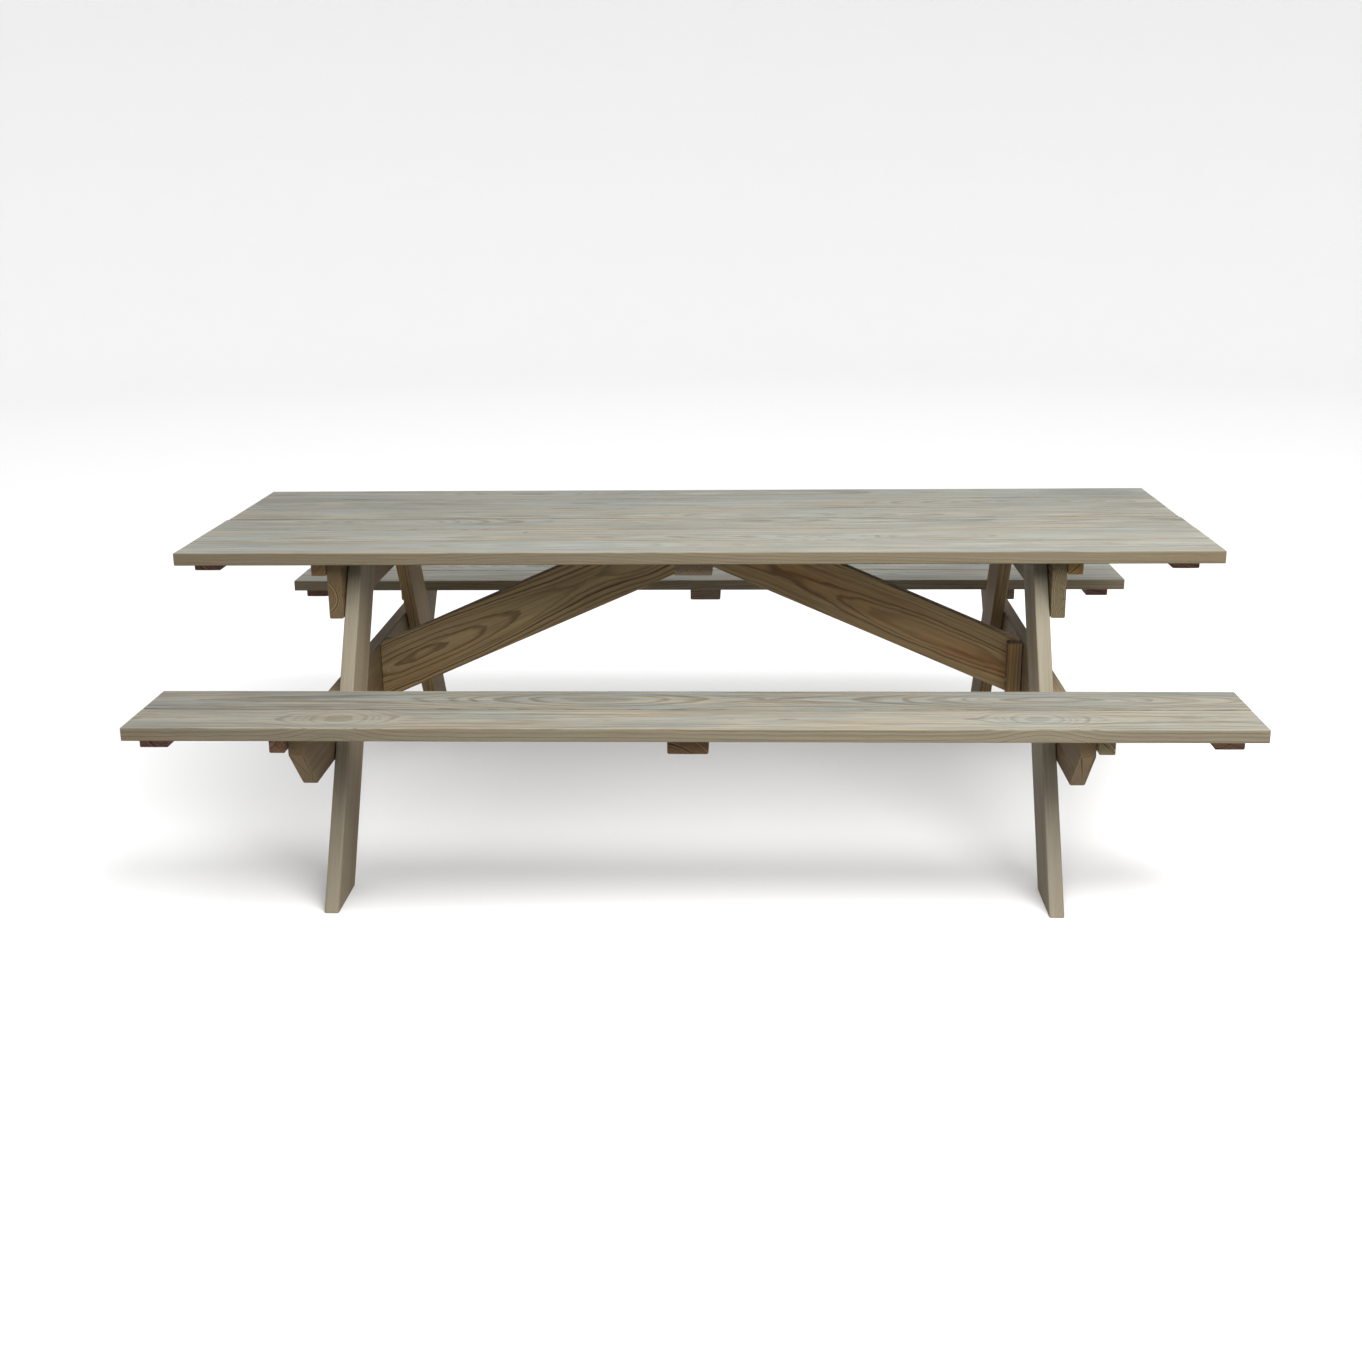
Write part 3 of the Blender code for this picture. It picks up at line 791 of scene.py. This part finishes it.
def build_braces():
    grains = {
        "left": {
            "pith_y": 0.004,
            "pith_z": -0.062,
            "slope": -0.004,
            "eye": (-0.35, 0.38, 0.028),
            "other_eye": (0.33, 0.12, 0.014),
        },
        "right": {
            "pith_y": 0.010,
            "pith_z": -0.062,
            "slope": -0.006,
            "eye": (-0.25, 0.42, 0.028),
            "contrast": 0.78,
            "other_eye": (0.40, 0.14, 0.012),
        },
    }
    for side, sign in SIDES.items():
        node = f"brace_{side}"
        low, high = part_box(node)
        centre = (low + high) / 2
        foot_x = low.x if sign < 0 else high.x
        head_x = high.x if sign < 0 else low.x
        half_height = BOARD_WIDTH / math.cos(BRACE_SLOPE) / 2
        rise = abs(foot_x) / 2 * math.tan(BRACE_SLOPE)
        middle = (foot_x / 2, centre.y, brace_foot_top(node, foot_x) - half_height + rise)
        # Local +X runs from the foot up to the head, and local +Z looks towards the front bench
        flip = Matrix.Identity(4) if sign < 0 else Matrix.Rotation(math.pi, 4, "Z")
        lift = Matrix.Rotation(-BRACE_SLOPE, 4, "Y")
        face = Matrix.Rotation(HALF_PI, 4, "X") if sign < 0 else Matrix.Rotation(-HALF_PI, 4, "X")
        place = Matrix.Translation(middle) @ flip @ lift @ face
        cuts = [
            ((foot_x, 0, 0), (sign, 0, 0)),
            ((head_x, 0, 0), (-sign, 0, 0)),
            ((0, 0, low.z), (0, 0, -1)),
            ((0, 0, high.z), (0, 0, 1)),
        ]
        blank_size = (BRACE_BLANK, BOARD_WIDTH, BOARD_THICKNESS)
        timber_piece(node, place, blank_size, EDGE_RADIUS, cuts, "brace", grains[side])
        node = f"brace_block_{side}"
        centre, size = centre_and_size(node)
        place = Matrix.Translation(centre) @ Matrix.Rotation(-HALF_PI, 4, "Y")
        cuts = end_cuts(node, place)
        # Tone 0.75 darkens the blocks: painted shade under the tabletop.
        grain = {"pith_y": 0.02, "pith_z": 0.04, "slope": 0.02, "contrast": 0.6, "tone": 0.75}
        blank_size = (size.z + SAWING_ALLOWANCE, size.y, size.x)
        timber_piece(node, place, blank_size, SMALL_EDGE_RADIUS, cuts, "brace", grain)


# Fasteners


def ring_points(half_width, sides, count):
    """Points round an axis: a circle for 0 sides, or a polygon of this half width across its flats."""
    points = []
    for step in range(count):
        angle = 2 * math.pi * step / count
        reach = half_width
        if sides:
            sector = 2 * math.pi / sides
            reach = half_width / math.cos((angle % sector) - sector / 2)
        points.append((reach * math.cos(angle), reach * math.sin(angle)))
    return points


def lathe(bm, rings, count, place=Matrix.Identity(4)):
    """A closed body through rings of (height, half width, sides), one after another."""
    loops = []
    for height, half_width, sides in rings:
        points = ring_points(half_width, sides, count)
        loops.append([bm.verts.new(place @ Vector((x, y, height))) for x, y in points])
    for lower, upper in zip(loops, loops[1:]):
        for step in range(count):
            follow = (step + 1) % count
            bm.faces.new((lower[step], lower[follow], upper[follow], upper[step]))
    bm.faces.new(list(reversed(loops[0])))
    bm.faces.new(loops[-1])


def thread_rings(start, end, radius):
    """Ridges of a screw thread between two heights."""
    root = radius - THREAD_DEPTH
    rings = []
    for turn in range(int((end - start) / THREAD_PITCH)):
        base = start + turn * THREAD_PITCH
        crest = base + 0.45 * THREAD_PITCH
        rings += [(base, root, 0), (crest, radius, 0), (base + 0.6 * THREAD_PITCH, radius, 0)]
    return rings + [(end, root, 0)]


def build_coach_screws():
    """Coach screws: a hexagon head on a washer outside each beam, and a threaded shank with a point."""
    zinc = zinc_material("coach_screw_zinc")
    for node in sorted(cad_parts):
        if not node.startswith("coach_screw_"):
            continue
        low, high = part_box(node)
        centre = (low + high) / 2
        outwards = 1 if centre.x > 0 else -1
        face_x = (high.x if outwards > 0 else low.x) - outwards * HEAD_AND_WASHER
        turn = Matrix.Rotation(outwards * HALF_PI, 4, "Y")
        place = Matrix.Translation((face_x, centre.y, centre.z)) @ turn
        point = HEAD_AND_WASHER - (high.x - low.x)
        bm = bmesh.new()
        shank = [(point + 0.0002, 0.0006, 0), (point + 0.009, 0.0040, 0)]
        shank += thread_rings(point + 0.010, -0.022, COACH_SHANK_RADIUS)
        shank += [(-0.020, COACH_SHANK_RADIUS, 0), (0.0012, COACH_SHANK_RADIUS, 0)]
        lathe(bm, shank, 32, place)
        washer = [(0.0004, WASHER_RADIUS - 0.0003, 0), (0.0006, WASHER_RADIUS, 0)]
        washer += [(0.0019, WASHER_RADIUS, 0), (0.0021, WASHER_RADIUS - 0.0004, 0)]
        lathe(bm, washer, 48, place)
        wide = COACH_HEAD_HALF_WIDTH
        head = [(0.0022, wide - 0.0006, 0), (0.0025, wide, 6), (0.0070, wide, 6)]
        head += [(0.0079, wide - 0.0006, 0), (0.0081, wide - 0.0012, 0)]
        lathe(bm, head, 48, place)
        put(node + "_metal", finish_mesh(bm, node + "_metal", METAL_SMOOTH_ANGLE), node, zinc)


def screw_head(bm, place):
    """A countersunk head with a six-sided drive, its face 0.2 mm under the wood's."""
    rim = DECK_SCREW_RIM
    rings = [(-0.0040, 0.0018, 0), (-0.0009, rim, 0), (-0.0004, rim, 0), (-0.0002, rim - 0.0003, 0)]
    rings += [(-0.0002, 0.0021, 6), (-0.0018, 0.0018, 6)]
    lathe(bm, rings, 24, place)


def build_screws():
    zinc = zinc_material("screw_zinc")
    for node in sorted(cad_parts):
        if not node.startswith("brace_") or "screw" not in node:
            continue
        low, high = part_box(node)
        size = high - low
        centre = (low + high) / 2
        long_axis = 0 if size.x > size.y else 1
        head = centre.copy()
        if long_axis == 1:
            front = "right" not in node and centre.y < LAP_PLANE_Y
            outward = Vector((0, -1 if front else 1, 0))
        else:
            outward = Vector((1 if centre.x < 0 else -1, 0, 0))
        head[long_axis] = (high if outward[long_axis] > 0 else low)[long_axis]
        turn = outward.to_track_quat("Z", "Y").to_matrix().to_4x4()
        place = Matrix.Translation(head) @ turn
        bm = bmesh.new()
        length = size[long_axis]
        rim = SCREW_RIM
        rings = [(-length + 0.0002, 0.0005, 0), (-length + 0.007, 0.0021, 0), (-0.0040, 0.0021, 0)]
        rings += [(-0.0010, rim, 0), (-0.0004, rim, 0), (-0.0001, rim - 0.0003, 0)]
        rings += [(-0.0001, 0.0022, 6), (-0.0020, 0.0018, 6)]
        lathe(bm, rings, 24, place)
        put(node + "_metal", finish_mesh(bm, node + "_metal", METAL_SMOOTH_ANGLE), node, zinc)


def build_deck_screws():
    """Heads of the screws that go up through the cleats and battens, mostly two to a board."""
    zinc = zinc_material("deck_screw_zinc")
    for node in crosspiece_nodes():
        low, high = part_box(node)
        deck = node.split("_cleat")[0].split("_end_batten")[0] + "_board_"
        draw = random.Random(node + "screws")
        bm = bmesh.new()
        for board in sorted(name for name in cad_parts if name.startswith(deck)):
            board_low, board_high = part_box(board)
            for part in (0.24, 0.76):
                y = board_low.y + part * (board_high.y - board_low.y) + draw.uniform(-0.004, 0.004)
                if not low.y + 0.01 < y < high.y - 0.01:
                    continue
                across = 0.2 * (high.x - low.x) if high.x - low.x > 0.05 else 0.0
                x = (low.x + high.x) / 2 + (across if part < 0.5 else -across) + draw.uniform(-0.002, 0.002)
                place = Matrix.Translation((x, y, low.z + SKIN)) @ Matrix.Rotation(math.pi, 4, "X")
                screw_head(bm, place @ Matrix.Rotation(draw.uniform(0, 1), 4, "Z"))
        put(node + "_screws", finish_mesh(bm, node + "_screws", METAL_SMOOTH_ANGLE), None, zinc)


def zinc_material(name):
    """Galvanising that has gone dull and brown in the weather."""
    material = bpy.data.materials.new(name)
    material.use_nodes = True
    tree = material.node_tree
    shader = tree.nodes["Principled BSDF"]
    where = tree.nodes.new("ShaderNodeTexCoord").outputs["Object"]
    blotch = grain_noise(tree, where, 220.0, 220.0, 4.0, 0.6).outputs[0]
    fine = grain_noise(tree, where, 1400.0, 1400.0, 2.0).outputs[0]
    colour = mix(tree, step_between(tree, blotch, 0.40, 0.66), (0.26, 0.25, 0.235), (0.10, 0.070, 0.045))
    colour = mix(tree, calc(tree, "MULTIPLY", fine, 0.3), colour, (0.40, 0.40, 0.39))
    bump = add(tree, "ShaderNodeBump", {"Height": fine, "Strength": 0.3, "Distance": 0.0002})
    rough = calc(tree, "MULTIPLY_ADD", blotch, 0.35, 0.32)
    tree.links.new(colour, shader.inputs["Base Color"])
    tree.links.new(rough, shader.inputs["Roughness"])
    tree.links.new(bump.outputs[0], shader.inputs["Normal"])
    shader.inputs["Metallic"].default_value = 0.85
    return material


# Stage


def build_stage():
    """A round white floor that curves up into a wall all round, so no horizon shows."""
    radius, lift, turns = FLOOR_RADIUS, FLOOR_LIFT, FLOOR_SEGMENTS
    profile = [(3.0, 0.0), (radius, 0.0)]
    for step in range(1, 13):
        angle = HALF_PI * step / 12
        profile.append((radius + lift * math.sin(angle), lift * (1 - math.cos(angle))))
    profile.append((radius + lift, WALL_TOP))
    bm = bmesh.new()
    middle = bm.verts.new((0, 0, 0))
    loops = []
    for reach, z in profile:
        angles = [2 * math.pi * n / turns for n in range(turns)]
        loops.append([bm.verts.new((reach * math.cos(a), reach * math.sin(a), z)) for a in angles])
    for n in range(turns):
        bm.faces.new((middle, loops[0][n], loops[0][(n + 1) % turns]))
    for inner, outer in zip(loops, loops[1:]):
        for n in range(turns):
            follow = (n + 1) % turns
            bm.faces.new((inner[n], outer[n], outer[follow], inner[follow]))
    mesh = bpy.data.meshes.new("floor")
    bm.to_mesh(mesh)
    bm.free()
    mesh.shade_smooth()
    floor = bpy.data.objects.new("floor", mesh)
    bpy.context.scene.collection.objects.link(floor)
    material = bpy.data.materials.new("floor_paint")
    material.use_nodes = True
    shader = material.node_tree.nodes["Principled BSDF"]
    shader.inputs["Base Color"].default_value = FLOOR_COLOUR
    shader.inputs["Roughness"].default_value = 0.9
    shader.inputs["Specular IOR Level"].default_value = 0.0
    mesh.materials.append(material)
    floor.location.z = -0.0005


def build_light():
    world = bpy.data.worlds.new("studio")
    bpy.context.scene.world = world
    world.use_nodes = True
    background = world.node_tree.nodes["Background"]
    background.inputs["Color"].default_value = (1.0, 1.0, 1.0, 1.0)
    background.inputs["Strength"].default_value = WORLD_STRENGTH
    lamp = bpy.data.lights.new("softbox", "AREA")
    lamp.shape = "RECTANGLE"
    lamp.size = SOFTBOX_SIZE
    lamp.size_y = SOFTBOX_SIZE
    lamp.energy = SOFTBOX_POWER
    softbox = bpy.data.objects.new("softbox", lamp)
    bpy.context.scene.collection.objects.link(softbox)
    softbox.location = SOFTBOX_PLACE
    aim = Vector(SOFTBOX_AIM) - softbox.location
    softbox.rotation_euler = aim.to_track_quat("-Z", "Y").to_euler()


def build_camera():
    lens = bpy.data.cameras.new("view")
    lens.sensor_width = SENSOR_MM
    lens.lens = LENS_MM
    lens.clip_end = 200.0
    camera = bpy.data.objects.new("view", lens)
    bpy.context.scene.collection.objects.link(camera)
    yaw = Matrix.Rotation(CAMERA_YAW, 4, "Z")
    pitch = Matrix.Rotation(CAMERA_PITCH, 4, "X")
    roll = Matrix.Rotation(CAMERA_ROLL, 4, "Y")
    to_camera = Matrix.Rotation(HALF_PI, 4, "X")
    camera.matrix_world = Matrix.Translation(CAMERA_PLACE) @ yaw @ pitch @ roll @ to_camera
    bpy.context.scene.camera = camera


def set_view():
    bpy.context.scene.view_settings.view_transform = "Standard"
    bpy.context.scene.view_settings.look = "None"


noise.seed_set(NOISE_SEED)
TIMBER_GRAIN = timber_group()
build_decks()
build_crosspieces()
build_frames()
build_braces()
build_coach_screws()
build_screws()
build_deck_screws()
build_stage()
build_light()
build_camera()
set_view()
